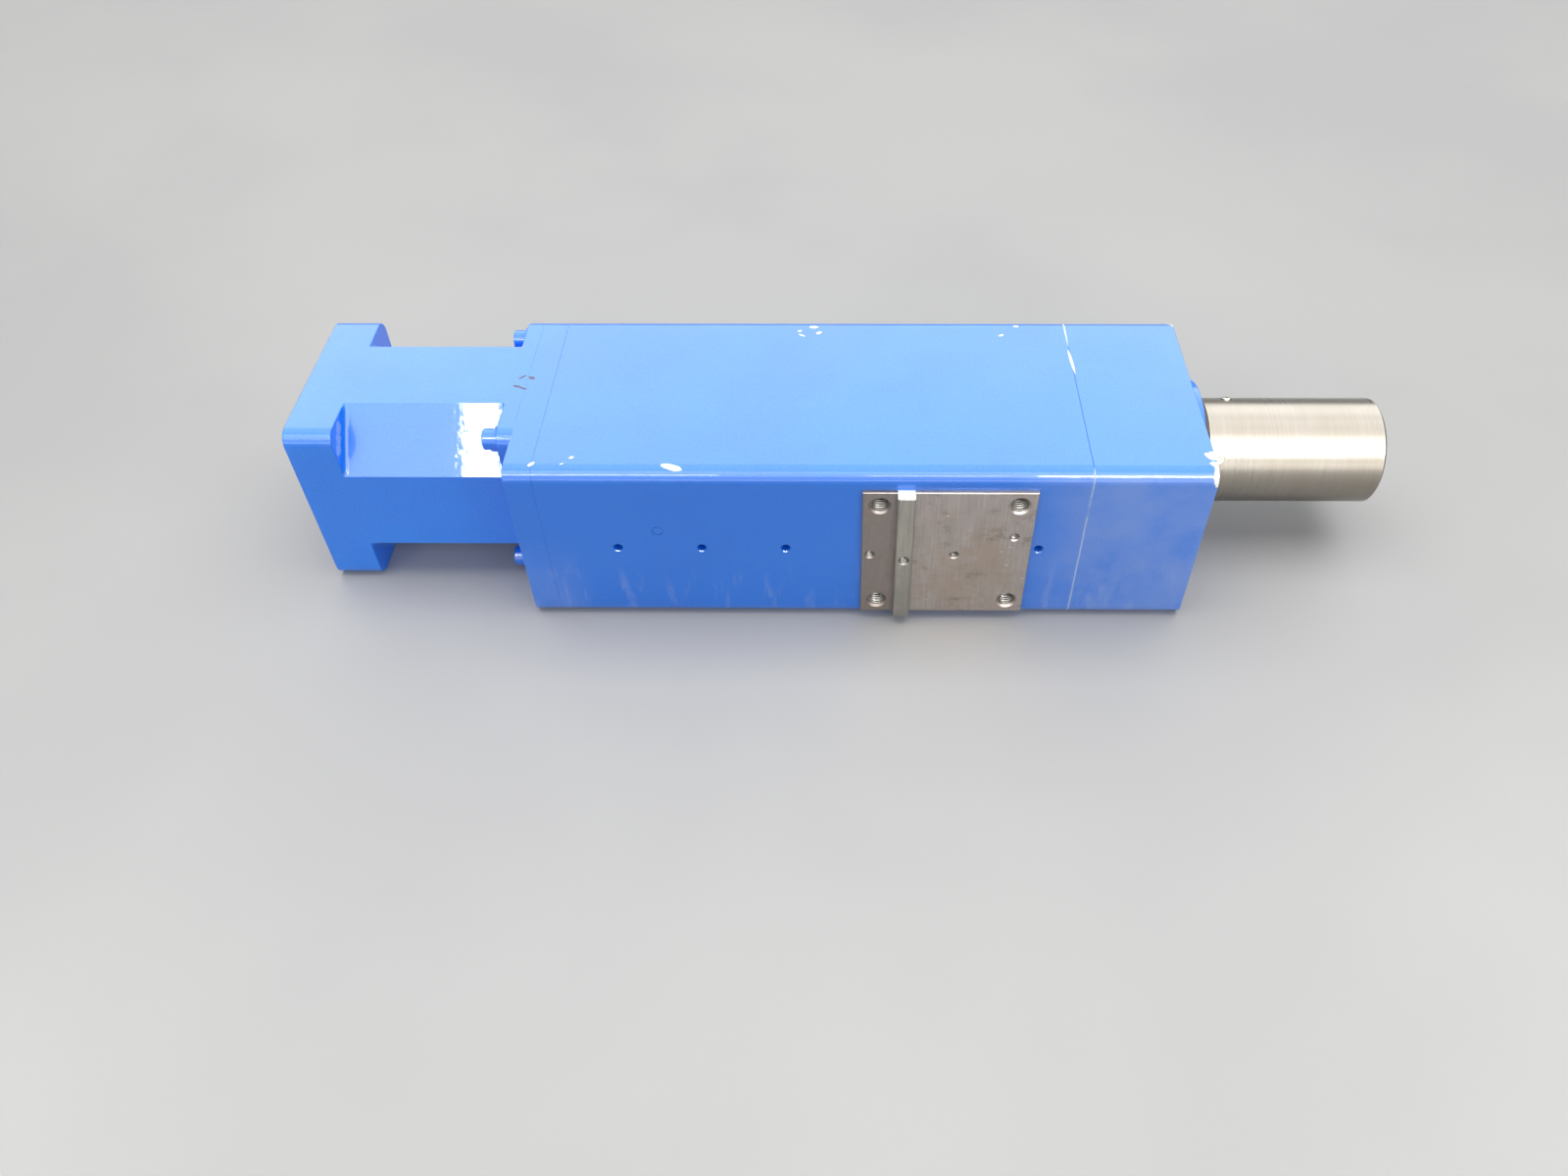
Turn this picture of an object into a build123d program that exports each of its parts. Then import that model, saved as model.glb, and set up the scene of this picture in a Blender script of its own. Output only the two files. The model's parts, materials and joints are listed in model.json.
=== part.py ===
from build123d import *
import math
import os

# Electric servo press (linear actuator): a ball screw turned from the motor end pushes a round ram
# out of the front.  X runs along the screw, from the motor face to the ram's nose, Z is up, and the
# mounting pad faces -Y.  The origin is the centre of the motor face, on the screw axis.  Millimetres.

# Driving dimensions: the housing
SECTION_H = 95.0            # height of every housing, and the side of the square flanges
SECTION_W = 120.0           # width of the main section, wider on the pad side only
EDGE_R = 7.0                # rounding of the long edges
OUTER_SOFT = 0.6            # rounding of free edges across the axis
JOINT_SOFT = 0.35           # rounding of the edges at the front cap's joint
FINE_JOINT_SOFT = 0.15      # the same at the two rear joints, which the paint nearly fills
MOTOR_FLANGE_T = 23.0
NECK_L = 77.0
NECK_FILLET = 2.5           # between the flange and the neck's chamfers
NECK_CHAMFER = 25.0         # cut off each corner of the square neck
THIN_FLANGE_T = 8.0
REAR_PLATE_T = 13.0
CASING_L = 254.0
FRONT_CAP_L = 56.0
BOSS_L = 8.0
BOSS_R = 36.0
RAM_REACH = 100.0           # ram beyond the front face when it is fully drawn in

# Driving dimensions: the drive
RAM_R = 26.5
RAM_CAVITY_R = 36.0
SCREW_R = 12.5
JOURNAL_R = 7.5             # end of the screw that the coupling clamps
SCREW_LEAD = 10.0
BEARING_OR = 26.0
BEARING_B = 15.0
COUPLING_R = 25.0
RUN_GAP = 0.3               # between faces that pass each other without guiding
GUIDE_GAP = 0.05            # radial clearance of a guiding fit
SEAT_GAP = 0.03             # radial clearance of a piece seated in another of the same body

# Stations along X
NECK_X = MOTOR_FLANGE_T
THIN_X = NECK_X + NECK_L
PLATE_X = THIN_X + THIN_FLANGE_T
CASING_X = PLATE_X + REAR_PLATE_T
CAP_X = CASING_X + CASING_L
FRONT_X = CAP_X + FRONT_CAP_L
BOSS_X = FRONT_X + BOSS_L
NOSE_X = FRONT_X + RAM_REACH
HALF = SECTION_H / 2
NEAR_Y = HALF - SECTION_W
BEARING_END_X = CASING_X + 34.0
CAVITY_X = BEARING_END_X + 10.0

# Jaw coupling inside the adapter
HUB_L = 20.0
SPIDER_L = 12.0
HUB_SCREW_X = THIN_X - 19.0
SPIDER_X = HUB_SCREW_X - SPIDER_L
HUB_MOTOR_X = SPIDER_X - HUB_L
CLAMP_Y = 16.0              # clamp screws of the hubs run along Z beside the shaft
ACCESS_X = HUB_MOTOR_X + HUB_L / 2

# Mounting pad and key on the -Y face
PAD_SIDE = 80.0
PAD_X = 311.0
PAD_Z = -2.0
PAD_PROUD = 2.0
PAD_SINK = 3.0
PAD_HOLES = 64.0            # centre distance of the four M10 holes, both ways
KEY_W = 8.0
KEY_H = 7.0
KEY_X = PAD_X - 20.0
KEY_SINK = 3.0
PAD_Y = NEAR_Y - PAD_PROUD
TAP_PITCH = 40.0            # row of M5 holes along the -Y face
TAP_X0 = 155.0
TAP_DEPTH = 14.0
TAP_MOUTH = 0.5             # chamfer at the mouth of every M5 hole
M5_TAP_R = 2.1
M5_CLEAR_R = 2.75
M5_HEAD_SEAT_R = 4.75
M10_TAP_R = 4.25
M10_TAP_DEPTH = 18.0


def ring(outer, inner, plane, length):
    """A plain ring or tube along X, added to the part being built."""
    with BuildSketch(plane) as profile:
        Circle(outer)
        Circle(inner, mode=Mode.SUBTRACT)
    extrude(profile.sketch, amount=length)


def disc(radius, x, length, mode=Mode.ADD):
    """A cylinder along X from x, added to or cut from the part being built."""
    with BuildSketch(Plane.YZ.offset(x)) as profile:
        Circle(radius)
    extrude(profile.sketch, amount=length, mode=mode)


def holes_x(points, radius, x, length):
    """Round holes along X at (y, z) points, cut from x over length."""
    with BuildSketch(Plane.YZ.offset(x)) as profile:
        with Locations(*points):
            Circle(radius)
    extrude(profile.sketch, amount=length, mode=Mode.SUBTRACT)


def holes_from_side(points, radius, y, depth):
    """Round holes at (x, z) points, cut from the plane at y in towards +Y."""
    with BuildSketch(Plane.XZ.offset(-y)) as profile:
        with Locations(*points):
            Circle(radius)
    extrude(profile.sketch, amount=-depth, mode=Mode.SUBTRACT)


def mouth_chamfers(points, radius, width, y):
    """Conical chamfers round the mouths of holes in a -Y face at y."""
    for x, z in points:
        with Locations(Location((x, y + width / 2, z), (90, 0, 0))):
            Cone(radius, radius + width, width, mode=Mode.SUBTRACT)


def housing_section(length, x):
    """The full main section with rounded long edges, widened towards -Y."""
    with BuildSketch(Plane.YZ.offset(x)) as profile:
        with Locations((HALF - SECTION_W / 2, 0)):
            RectangleRounded(SECTION_W, SECTION_H, EDGE_R)
    extrude(profile.sketch, amount=length)


def soften(x, radius):
    """Round every edge of the part being built that lies in the plane at x."""
    fillet(edges().filter_by_position(Axis.X, x - 0.01, x + 0.01), radius)


def square_flange(length, x):
    """A square flange with rounded corners, centred on the screw axis."""
    with BuildSketch(Plane.YZ.offset(x)) as profile:
        RectangleRounded(SECTION_H, SECTION_H, EDGE_R)
    extrude(profile.sketch, amount=length)


def cap_screws(points, head_x, facing, size, length):
    """Socket head cap screws along X.  head_x is under the head and facing is -1 for a head towards -X."""
    head_r = size * 5 / 6
    socket_r = size * 0.48
    shank_r = size / 2 - 2 * SEAT_GAP
    top = head_x + facing * size
    with BuildSketch(Plane.YZ.offset(head_x)) as profile:
        with Locations(*points):
            Circle(head_r)
    extrude(profile.sketch, amount=facing * size)
    rims = edges().filter_by(GeomType.CIRCLE).filter_by_position(Axis.X, top - 0.01, top + 0.01)
    fillet(rims, size * 0.09)
    with BuildSketch(Plane.YZ.offset(top)) as profile:
        with Locations(*points):
            RegularPolygon(socket_r, 6)
    extrude(profile.sketch, amount=-facing * size * 0.5, mode=Mode.SUBTRACT)
    with BuildSketch(Plane.YZ.offset(head_x)) as profile:
        with Locations(*points):
            Circle(shank_r)
    extrude(profile.sketch, amount=-facing * length)


def in_valley(edge):
    """True for the straight edge where a chamfer of the neck meets the flange."""
    centre = edge.center()
    return edge.geom_type == GeomType.LINE and abs(abs(centre.Y) - abs(centre.Z)) < 0.01


def save(part, name):
    """Label a finished piece and write it as one STEP file."""
    part.label = name
    export_step(part, f"parts/{name}.step")


os.makedirs("parts", exist_ok=True)

# ---------------------------------------------------------------- motor adapter

BAY_R = 31.0                # round bay through the adapter, for the coupling
PILOT_R = 35.0
PILOT_DEPTH = 4.0
MOTOR_PCD = 90.0
ADAPTER_HOLE = 39.5         # the four adapter screws sit at +-this in Y and Z
ADAPTER_CLEAR_R = 3.3
ADAPTER_TAP_R = 3.0
WASHER_T = 1.6
WASHER_OR = 6.0
WASHER_IR = 3.2
ACCESS_R = 6.0
ACCESS_PLUG_T = 10.0
MOTOR_TAP_R = 2.5
MOTOR_TAP_DEPTH = 16.0

corners = [(y, z) for y in (-ADAPTER_HOLE, ADAPTER_HOLE) for z in (-ADAPTER_HOLE, ADAPTER_HOLE)]
motor_hole = MOTOR_PCD / 2 * math.sqrt(0.5)
motor_corners = [(y, z) for y in (-motor_hole, motor_hole) for z in (-motor_hole, motor_hole)]

with BuildPart() as motor_adapter:
    square_flange(MOTOR_FLANGE_T, 0)
    with BuildSketch(Plane.YZ.offset(NECK_X)) as neck:
        Rectangle(SECTION_H, SECTION_H)
        chamfer(neck.vertices(), NECK_CHAMFER)
    extrude(amount=NECK_L)
    square_flange(THIN_FLANGE_T, THIN_X)
    soften(0, OUTER_SOFT)
    flange_side = edges().filter_by_position(Axis.X, NECK_X - 0.01, NECK_X + 0.01)
    fillet([edge for edge in flange_side if not in_valley(edge)], OUTER_SOFT)
    flange_side = edges().filter_by_position(Axis.X, NECK_X - 0.01, NECK_X + 0.01)
    fillet([edge for edge in flange_side if in_valley(edge)], NECK_FILLET)
    soften(THIN_X, OUTER_SOFT)
    soften(PLATE_X, FINE_JOINT_SOFT)
    disc(BAY_R, 0, PLATE_X, Mode.SUBTRACT)
    disc(PILOT_R, 0, PILOT_DEPTH, Mode.SUBTRACT)
    holes_x(motor_corners, MOTOR_TAP_R, 0, MOTOR_TAP_DEPTH)
    holes_x(corners, ADAPTER_CLEAR_R, THIN_X, THIN_FLANGE_T)
    with BuildSketch(Plane.XY.offset(-HALF)):
        with Locations((ACCESS_X, CLAMP_Y)):
            Circle(ACCESS_R)
    extrude(amount=HALF / 2, mode=Mode.SUBTRACT)
save(motor_adapter.part, "motor_adapter")

with BuildPart() as access_plug:
    with BuildSketch(Plane.XY.offset(-HALF)):
        with Locations((ACCESS_X, CLAMP_Y)):
            Circle(ACCESS_R - SEAT_GAP)
    extrude(amount=ACCESS_PLUG_T)
save(access_plug.part, "access_plug")

with BuildPart() as adapter_washers:
    with BuildSketch(Plane.YZ.offset(THIN_X - WASHER_T)):
        with Locations(*corners):
            Circle(WASHER_OR)
            Circle(WASHER_IR, mode=Mode.SUBTRACT)
    extrude(amount=WASHER_T)
save(adapter_washers.part, "adapter_washers")

with BuildPart() as adapter_screws:
    cap_screws(corners, THIN_X - WASHER_T, -1, 6.0, 20.0)
save(adapter_screws.part, "adapter_screws")

# ---------------------------------------------------------------- rear plate

SPIGOT_L = 4.0
PLATE_BORE_R = 20.2
SHAFT_SEAL_L = 5.0
REAR_SCREW_HEAD_DEPTH = 5.5
rear_screw_points = [(-61, -36), (-61, 36), (0, -39), (0, 39), (39, 0), (-39, 0)]
dowel_points = [(-61, 0), (28, -28)]
DOWEL_R = 3.0
DOWEL_DEPTH = 10.0

with BuildPart() as rear_plate:
    housing_section(REAR_PLATE_T, PLATE_X)
    soften(PLATE_X, FINE_JOINT_SOFT)
    soften(CASING_X, FINE_JOINT_SOFT)
    disc(BEARING_OR - SEAT_GAP, CASING_X, SPIGOT_L)
    disc(PLATE_BORE_R, PLATE_X, REAR_PLATE_T + SPIGOT_L, Mode.SUBTRACT)
    holes_x(corners, ADAPTER_TAP_R, PLATE_X, REAR_PLATE_T)
    holes_x(rear_screw_points, M5_CLEAR_R, PLATE_X, REAR_PLATE_T)
    holes_x(rear_screw_points, M5_HEAD_SEAT_R, PLATE_X, REAR_SCREW_HEAD_DEPTH)
    holes_x(dowel_points, DOWEL_R, CASING_X - DOWEL_DEPTH, DOWEL_DEPTH)
save(rear_plate.part, "rear_plate")

with BuildPart() as rear_plate_screws:
    cap_screws(rear_screw_points, PLATE_X + REAR_SCREW_HEAD_DEPTH, -1, 5.0, 18.0)
save(rear_plate_screws.part, "rear_plate_screws")

with BuildPart() as dowel_pins:
    with BuildSketch(Plane.YZ.offset(CASING_X - DOWEL_DEPTH + 0.5)):
        with Locations(*dowel_points):
            Circle(DOWEL_R - SEAT_GAP)
    extrude(amount=2 * DOWEL_DEPTH - 1)
save(dowel_pins.part, "dowel_pins")

with BuildPart() as shaft_seal:
    ring(PLATE_BORE_R - SEAT_GAP, JOURNAL_R + GUIDE_GAP, Plane.YZ.offset(PLATE_X + 0.5), SHAFT_SEAL_L)
save(shaft_seal.part, "shaft_seal")

# ---------------------------------------------------------------- casing

SLOT_W = 10.3               # keyway that stops the ram from turning
SLOT_DEPTH = 8.0
WEB_BORE_R = 20.0
CAP_SCREW_DEPTH = 26.0
LUBE_X = 175.0
LUBE_Z = 11.5
LUBE_R = 2.6
LUBE_SEAT_DEPTH = 8.0
LUBE_DUCT_R = 1.5
REAR_TAP_R = 2.5
REAR_TAP_DEPTH = 15.0
CAP_SCREW_HOLE_R = 4.0
PAD_SCREW_HEAD_R = 3.0
PAD_SCREW_TAP_R = 1.7
PAD_SCREW_TAP_DEPTH = 8.0
cap_screw_points = [(-60, -35), (-60, 35), (36, -36), (36, 36)]
casing_taps = [(TAP_X0 + TAP_PITCH * i, 0) for i in (0, 1, 2, 5)]
pad_taps = [(TAP_X0 + TAP_PITCH * i, PAD_Z) for i in (3, 4)] + [(PAD_X + 31.5, PAD_Z + 12)]
pad_corners = [(PAD_X + i * PAD_HOLES / 2, PAD_Z + j * PAD_HOLES / 2) for i in (-1, 1) for j in (-1, 1)]
pad_screw_points = [(KEY_X, PAD_Z - 25), (KEY_X, PAD_Z + 25)]
PAD_FLOOR_Y = NEAR_Y + PAD_SINK

with BuildPart() as casing:
    housing_section(CASING_L, CASING_X)
    soften(CASING_X, FINE_JOINT_SOFT)
    soften(CAP_X, JOINT_SOFT)
    disc(BEARING_OR, CASING_X, BEARING_END_X - CASING_X, Mode.SUBTRACT)
    disc(WEB_BORE_R, BEARING_END_X, CAVITY_X - BEARING_END_X, Mode.SUBTRACT)
    disc(RAM_CAVITY_R, CAVITY_X, CAP_X - CAVITY_X, Mode.SUBTRACT)
    with BuildSketch(Plane.YZ.offset(CAVITY_X)):
        with Locations((-(RAM_CAVITY_R + SLOT_DEPTH) / 2, 0)):
            Rectangle(RAM_CAVITY_R + SLOT_DEPTH, SLOT_W)
    extrude(amount=CAP_X - CAVITY_X, mode=Mode.SUBTRACT)
    with BuildSketch(Plane.XZ.offset(-NEAR_Y)):
        with Locations((PAD_X, PAD_Z)):
            Rectangle(PAD_SIDE, PAD_SIDE)
    extrude(amount=-PAD_SINK, mode=Mode.SUBTRACT)
    holes_from_side(casing_taps, M5_TAP_R, NEAR_Y, TAP_DEPTH)
    mouth_chamfers(casing_taps, M5_TAP_R, TAP_MOUTH, NEAR_Y)
    holes_from_side(pad_taps, M5_TAP_R, PAD_FLOOR_Y, TAP_DEPTH)
    holes_from_side(pad_corners, M10_TAP_R, PAD_FLOOR_Y, M10_TAP_DEPTH)
    holes_from_side(pad_screw_points, PAD_SCREW_TAP_R, PAD_FLOOR_Y, PAD_SCREW_TAP_DEPTH)
    holes_from_side([(LUBE_X, LUBE_Z)], LUBE_R, NEAR_Y, LUBE_SEAT_DEPTH)
    holes_from_side([(LUBE_X, LUBE_Z)], LUBE_DUCT_R, NEAR_Y, -NEAR_Y)
    holes_x(cap_screw_points, CAP_SCREW_HOLE_R, CAP_X - CAP_SCREW_DEPTH, CAP_SCREW_DEPTH)
    holes_x(rear_screw_points, REAR_TAP_R, CASING_X, REAR_TAP_DEPTH)
    holes_x(dowel_points, DOWEL_R, CASING_X, DOWEL_DEPTH)
save(casing.part, "casing")

PLUG_SINK = 0.05            # plug below the painted face
PLUG_GROOVE_W = 0.25        # ring round the plug's head that the paint leaves open
PLUG_GROOVE_DEPTH = 0.6
PLUG_L = 6.0

with BuildPart() as lubrication_plug:
    with BuildSketch(Plane.XZ.offset(-NEAR_Y - PLUG_SINK)):
        with Locations((LUBE_X, LUBE_Z)):
            Circle(LUBE_R - PLUG_GROOVE_W)
    extrude(amount=-PLUG_L)
    with BuildSketch(Plane.XZ.offset(-NEAR_Y - PLUG_SINK - PLUG_GROOVE_DEPTH)):
        with Locations((LUBE_X, LUBE_Z)):
            Circle(LUBE_R - SEAT_GAP)
    extrude(amount=-(PLUG_L - PLUG_GROOVE_DEPTH))
save(lubrication_plug.part, "lubrication_plug")

# ---------------------------------------------------------------- mounting pad and key

PAD_EDGE = 0.3
PAD_MOUTH = 0.95            # chamfer at the mouth of the M10 holes
PAD_SCREW_CLEAR_R = 3.1
PAD_SCREW_SHANK_R = 1.6
PAD_SCREW_SHANK_L = 7.0
KEY_EDGE = 0.4
KEY_HOLE_R = 2.5
KEY_HOLE_Z = PAD_Z
PAD_T = PAD_PROUD + PAD_SINK

with BuildPart() as mounting_pad:
    with BuildSketch(Plane.XZ.offset(-PAD_Y)):
        with Locations((PAD_X, PAD_Z)):
            Rectangle(PAD_SIDE, PAD_SIDE)
    extrude(amount=-PAD_T)
    chamfer(faces().sort_by(Axis.Y)[0].edges(), PAD_EDGE)
    with BuildSketch(Plane.XZ.offset(-PAD_Y)):
        with Locations((KEY_X, PAD_Z)):
            Rectangle(KEY_W + 2 * SEAT_GAP, PAD_SIDE)
    extrude(amount=-KEY_SINK, mode=Mode.SUBTRACT)
    holes_from_side(pad_corners, M10_TAP_R, PAD_Y, PAD_T)
    mouth_chamfers(pad_corners, M10_TAP_R, PAD_MOUTH, PAD_Y)
    holes_from_side(pad_taps, M5_TAP_R, PAD_Y, PAD_T)
    mouth_chamfers(pad_taps, M5_TAP_R, TAP_MOUTH, PAD_Y)
    holes_from_side(pad_screw_points, PAD_SCREW_CLEAR_R, PAD_Y, PAD_T)
save(mounting_pad.part, "mounting_pad")

with BuildPart() as pad_screws:
    with BuildSketch(Plane.XZ.offset(-PAD_FLOOR_Y)):
        with Locations(*pad_screw_points):
            Circle(PAD_SCREW_HEAD_R)
    extrude(amount=PAD_T - KEY_SINK - 0.2)
    with BuildSketch(Plane.XZ.offset(-PAD_FLOOR_Y)):
        with Locations(*pad_screw_points):
            Circle(PAD_SCREW_SHANK_R)
    extrude(amount=-PAD_SCREW_SHANK_L)
save(pad_screws.part, "pad_screws")

with BuildPart() as location_key:
    with BuildSketch(Plane.XZ.offset(-(PAD_Y + KEY_SINK))):
        with Locations((KEY_X, PAD_Z)):
            Rectangle(KEY_W, PAD_SIDE)
    extrude(amount=KEY_H)
    chamfer(faces().sort_by(Axis.Y)[0].edges(), KEY_EDGE)
    holes_from_side([(KEY_X, KEY_HOLE_Z)], KEY_HOLE_R, PAD_Y + KEY_SINK - KEY_H, KEY_H)
    mouth_chamfers([(KEY_X, KEY_HOLE_Z)], KEY_HOLE_R, PAD_EDGE, PAD_Y + KEY_SINK - KEY_H)
save(location_key.part, "location_key")

# ---------------------------------------------------------------- front cap, bush and seals

BUSH_OR = 30.5
BUSH_L = 40.0
SEAL_X = FRONT_X - 11.0
SEAL_L = 8.0
WIPER_SEAT_R = 29.0
WIPER_SEAT_L = 6.0
WIPER_LIP = 4.5
CAP_SCREW_HEAD_DEPTH = 9.0
RETAINER_PCD = 65.0
RETAINER_HEAD_DEPTH = 3.4
RETAINER_HEAD_SEAT_R = 2.9
RETAINER_CLEAR_R = 1.6
RETAINER_TAP_R = 1.5
RETAINER_EDGE = 0.5
CAP_CLEAR_R = 4.2
CAP_HEAD_SEAT_R = 7.0
STOP_L = 5.0

retainer_points = [
    (RETAINER_PCD / 2 * math.cos(math.radians(60 * i)), RETAINER_PCD / 2 * math.sin(math.radians(60 * i)))
    for i in range(6)
]

with BuildPart() as front_cap:
    housing_section(FRONT_CAP_L, CAP_X)
    soften(CAP_X, JOINT_SOFT)
    soften(FRONT_X, OUTER_SOFT)
    disc(BUSH_OR, CAP_X, FRONT_CAP_L, Mode.SUBTRACT)
    holes_x(cap_screw_points, CAP_CLEAR_R, CAP_X, FRONT_CAP_L)
    holes_x(cap_screw_points, CAP_HEAD_SEAT_R, FRONT_X - CAP_SCREW_HEAD_DEPTH, CAP_SCREW_HEAD_DEPTH)
    holes_x(retainer_points, RETAINER_TAP_R, FRONT_X - 10, 10)
save(front_cap.part, "front_cap")

with BuildPart() as front_cap_screws:
    cap_screws(cap_screw_points, FRONT_X - CAP_SCREW_HEAD_DEPTH, 1, 8.0, 70.0)
save(front_cap_screws.part, "front_cap_screws")

with BuildPart() as guide_bush:
    ring(BUSH_OR - SEAT_GAP, RAM_R + GUIDE_GAP, Plane.YZ.offset(CAP_X + 2), BUSH_L)
save(guide_bush.part, "guide_bush")

with BuildPart() as rod_seal:
    ring(BUSH_OR - SEAT_GAP, RAM_R + GUIDE_GAP, Plane.YZ.offset(SEAL_X), SEAL_L)
save(rod_seal.part, "rod_seal")

with BuildPart() as seal_retainer:
    disc(BOSS_R, FRONT_X, BOSS_L)
    fillet(edges().filter_by(GeomType.CIRCLE).sort_by(Axis.X)[-1], RETAINER_EDGE)
    disc(RAM_R + 1.0, FRONT_X, BOSS_L, Mode.SUBTRACT)
    disc(WIPER_SEAT_R, BOSS_X - WIPER_SEAT_L, WIPER_SEAT_L, Mode.SUBTRACT)
    holes_x(retainer_points, RETAINER_CLEAR_R, FRONT_X, BOSS_L)
    holes_x(retainer_points, RETAINER_HEAD_SEAT_R, BOSS_X - RETAINER_HEAD_DEPTH, RETAINER_HEAD_DEPTH)
save(seal_retainer.part, "seal_retainer")

with BuildPart() as retainer_screws:
    cap_screws(retainer_points, BOSS_X - RETAINER_HEAD_DEPTH, 1, 3.0, 12.0)
save(retainer_screws.part, "retainer_screws")

with BuildPart() as wiper_ring:
    with BuildSketch(Plane.XY) as wiper_half:
        with BuildLine():
            Polyline(
                (BOSS_X - WIPER_SEAT_L + 0.2, RAM_R + GUIDE_GAP),
                (BOSS_X - WIPER_SEAT_L + 0.2, WIPER_SEAT_R - SEAT_GAP),
                (BOSS_X, WIPER_SEAT_R - SEAT_GAP),
                (BOSS_X + WIPER_LIP, RAM_R + 0.7),
                (BOSS_X + WIPER_LIP, RAM_R + GUIDE_GAP),
                close=True,
            )
        make_face()
    revolve(axis=Axis.X)
save(wiper_ring.part, "wiper_ring")

with BuildPart() as bump_stop:
    ring(RAM_CAVITY_R - 1.0, RAM_R + 2.0, Plane.YZ.offset(CAP_X - STOP_L), STOP_L)
save(bump_stop.part, "bump_stop")

# ---------------------------------------------------------------- ball screw and its bearings

LOCKNUT_L = 9.0
LOCKNUT_R = 18.5
SCREW_START_X = CAVITY_X - 4.0
SCREW_END_X = FRONT_X - 50.0
GROOVE_R = 1.9
GROOVE_DEPTH = 1.6
GROOVES = 22
END_CHAMFER = 1.5
COLLAR_R = 16.0
JOURNAL_X = THIN_X - 18.5
LOCKNUT_X = PLATE_X + 8.0
BALL_PCD = 38.5
BALL_R = 3.95
BALLS = 12
OUTER_RING_R = 21.5         # bore of the outer rings
INNER_RING_R = 17.0         # outside of the inner rings
bearing_starts = (BEARING_END_X - 2 * BEARING_B, BEARING_END_X - BEARING_B)

with BuildPart() as ball_screw:
    with BuildSketch(Plane.XY):
        with BuildLine():
            Polyline(
                (SCREW_START_X, SCREW_R),
                (SCREW_START_X, COLLAR_R),
                (BEARING_END_X, COLLAR_R),
                (BEARING_END_X, SCREW_R),
                (LOCKNUT_X, SCREW_R),
                (LOCKNUT_X, JOURNAL_R),
                (JOURNAL_X, JOURNAL_R),
                (JOURNAL_X, 0),
                (SCREW_END_X, 0),
                (SCREW_END_X, SCREW_R - END_CHAMFER),
                (SCREW_END_X - END_CHAMFER, SCREW_R),
            )
            crest_x = SCREW_END_X - END_CHAMFER
            for i in range(GROOVES):
                groove_x = SCREW_END_X - SCREW_LEAD * (i + 0.5)
                Line((crest_x, SCREW_R), (groove_x + GROOVE_R, SCREW_R))
                ThreePointArc(
                    (groove_x + GROOVE_R, SCREW_R),
                    (groove_x, SCREW_R - GROOVE_DEPTH),
                    (groove_x - GROOVE_R, SCREW_R),
                )
                crest_x = groove_x - GROOVE_R
            Line((crest_x, SCREW_R), (SCREW_START_X, SCREW_R))
        make_face()
    revolve(axis=Axis.X)
save(ball_screw.part, "ball_screw")

with BuildPart() as bearing_outer_rings:
    for start in bearing_starts:
        ring(BEARING_OR - SEAT_GAP, OUTER_RING_R, Plane.YZ.offset(start + 0.05), BEARING_B - 0.1)
        with BuildSketch(Plane.XY):
            with Locations((start + BEARING_B / 2, BALL_PCD / 2)):
                Circle(BALL_R + RUN_GAP)
        revolve(axis=Axis.X, mode=Mode.SUBTRACT)
save(bearing_outer_rings.part, "bearing_outer_rings")

with BuildPart() as bearing_inner_rings:
    for start in bearing_starts:
        ring(INNER_RING_R, SCREW_R + SEAT_GAP, Plane.YZ.offset(start + 0.05), BEARING_B - 0.1)
        with BuildSketch(Plane.XY):
            with Locations((start + BEARING_B / 2, BALL_PCD / 2)):
                Circle(BALL_R + SEAT_GAP)
        revolve(axis=Axis.X, mode=Mode.SUBTRACT)
save(bearing_inner_rings.part, "bearing_inner_rings")

with BuildPart() as bearing_balls:
    for start in bearing_starts:
        for i in range(BALLS):
            angle = math.radians(360 / BALLS * i)
            ball_y = BALL_PCD / 2 * math.cos(angle)
            ball_z = BALL_PCD / 2 * math.sin(angle)
            with Locations((start + BEARING_B / 2, ball_y, ball_z)):
                Sphere(BALL_R)
save(bearing_balls.part, "bearing_balls")

with BuildPart() as bearing_locknut:
    ring(LOCKNUT_R, SCREW_R + SEAT_GAP, Plane.YZ.offset(bearing_starts[0] - LOCKNUT_L - 0.1), LOCKNUT_L)
    with BuildSketch(Plane.YZ.offset(bearing_starts[0] - LOCKNUT_L - 0.1)):
        with PolarLocations(LOCKNUT_R, 4):
            Rectangle(4, 5)
    extrude(amount=LOCKNUT_L, mode=Mode.SUBTRACT)
save(bearing_locknut.part, "bearing_locknut")

# ---------------------------------------------------------------- jaw coupling

MOTOR_SHAFT_R = 7.0
JAW_IN_R = 11.0
JAW_HALF_ANGLE = 21.5
LEG_HALF_ANGLE = 8.0
JAW_GAP = 0.5               # between the jaws' ends and the other hub
SLIT_W = 1.5
CLAMP_HOLE_R = 2.6
CLAMP_SCREW_R = 2.5
CLAMP_SCREW_L = 24.0
CLAMP_SOCKET_R = 1.6
CLAMP_SOCKET_DEPTH = 3.0
SPIDER_BORE_R = 8.5
SPIDER_GAP = 0.6            # between the spider and the hubs' faces


def sector(radius_in, radius_out, start, end, x, length):
    """A ring sector between two angles in degrees, along X."""
    with BuildSketch(Plane.YZ.offset(x)) as profile:
        with BuildLine():
            inner = CenterArc((0, 0), radius_in, start, end - start)
            outer = CenterArc((0, 0), radius_out, start, end - start)
            Line(inner @ 0, outer @ 0)
            Line(inner @ 1, outer @ 1)
        make_face()
    extrude(profile.sketch, amount=length)


def jaws(first, x, length):
    """Three jaws of a hub, 120 degrees apart, between the spider's legs."""
    for i in range(3):
        centre = first + 120 * i
        sector(JAW_IN_R, COUPLING_R, centre - JAW_HALF_ANGLE, centre + JAW_HALF_ANGLE, x, length)


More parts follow.
